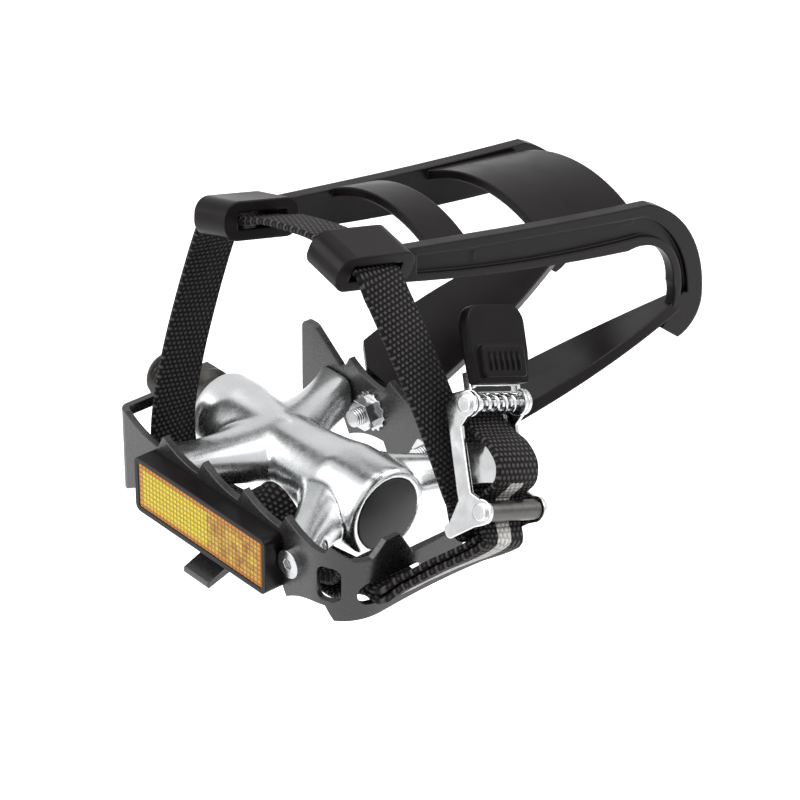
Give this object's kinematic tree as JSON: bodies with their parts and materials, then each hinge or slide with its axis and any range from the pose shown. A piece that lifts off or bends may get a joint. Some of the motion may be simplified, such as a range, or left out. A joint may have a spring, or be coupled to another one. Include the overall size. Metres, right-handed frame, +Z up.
{
  "type": "toe clip bicycle pedal",
  "caption": "Right-hand bicycle pedal with a cast body in a toothed steel cage, an amber rear reflector, a moulded toe clip and a webbing strap with a cam buckle.",
  "frame": {"origin": "on the spindle axis, at the shoulder that seats on the crank", "axes": "+X outboard along the spindle, +Y forward to the toe, +Z up"},
  "size_m": [0.1472, 0.1609, 0.1054],
  "materials": {
    "spindle_steel": "turned alloy steel, dark satin",
    "bearing_steel": "hardened and ground",
    "zinc_steel": "zinc plated, dull",
    "cast_aluminium": "cast and tumbled, satin",
    "seal_rubber": "moulded black rubber",
    "cap_plastic": "moulded dark grey, fine grain",
    "black_steel": "black powder coat, satin",
    "black_plastic": "moulded black, fine grain",
    "amber_lens": "clear moulded amber with small prisms",
    "clip_nylon": "moulded black nylon, satin grain",
    "black_webbing": "coarse woven nylon webbing",
    "buckle_chrome": "pressed steel, bright plated",
    "spring_steel": "drawn wire",
    "roller_steel": "turned, dull plated"
  },
  "bodies": {
    "spindle": {"spindle": "spindle_steel", "outer_cone": "bearing_steel", "lock_washer": "zinc_steel", "lock_nut": "zinc_steel"},
    "bearing_balls": {"inner_balls": "bearing_steel", "outer_balls": "bearing_steel"},
    "pedal": {"pedal_body": "cast_aluminium", "inner_seal": "seal_rubber", "inner_cup": "bearing_steel", "outer_cup": "bearing_steel", "dust_cap": "cap_plastic", "cage": "black_steel", "cage_screws": "zinc_steel", "reflector_housing": "black_plastic", "reflector_lens": "amber_lens", "reflector_nuts": "zinc_steel", "toe_clip": "clip_nylon", "clip_bolts": "zinc_steel", "clip_lock_washers": "zinc_steel", "clip_nuts": "zinc_steel", "strap": "black_webbing", "buckle_frame": "buckle_chrome", "buckle_pin": "buckle_chrome", "buckle_spring": "spring_steel", "roller_pin": "buckle_chrome"},
    "cam_lever": {"buckle_lever": "buckle_chrome", "thumb_tab": "black_plastic"},
    "strap_roller": {"buckle_roller": "roller_steel"}
  },
  "joints": [
    {"name": "pedal_spin", "type": "hinge", "parent": "spindle", "child": "pedal", "pos_m": [0, 0, 0], "axis": [1, 0, 0], "continuous": true},
    {"name": "ball_roll", "type": "hinge", "parent": "spindle", "child": "bearing_balls", "pos_m": [0, 0, 0], "axis": [1, 0, 0], "continuous": true},
    {"name": "lever_turn", "type": "hinge", "parent": "pedal", "child": "cam_lever", "pos_m": [0.11508, 0.00992, 0.04443], "axis": [0, 0.9397, -0.342], "range_deg": [0, 40], "stiffness_Nm_per_rad": 0.05, "springref_deg": -20.05},
    {"name": "roller_turn", "type": "hinge", "parent": "pedal", "child": "strap_roller", "pos_m": [0.13032, 0.00188, 0.02237], "axis": [0, 0.9397, -0.342], "continuous": true}
  ],
  "couplings": [
    {"joint": "ball_roll", "follows": "pedal_spin", "ratio": 0.6414}
  ]
}
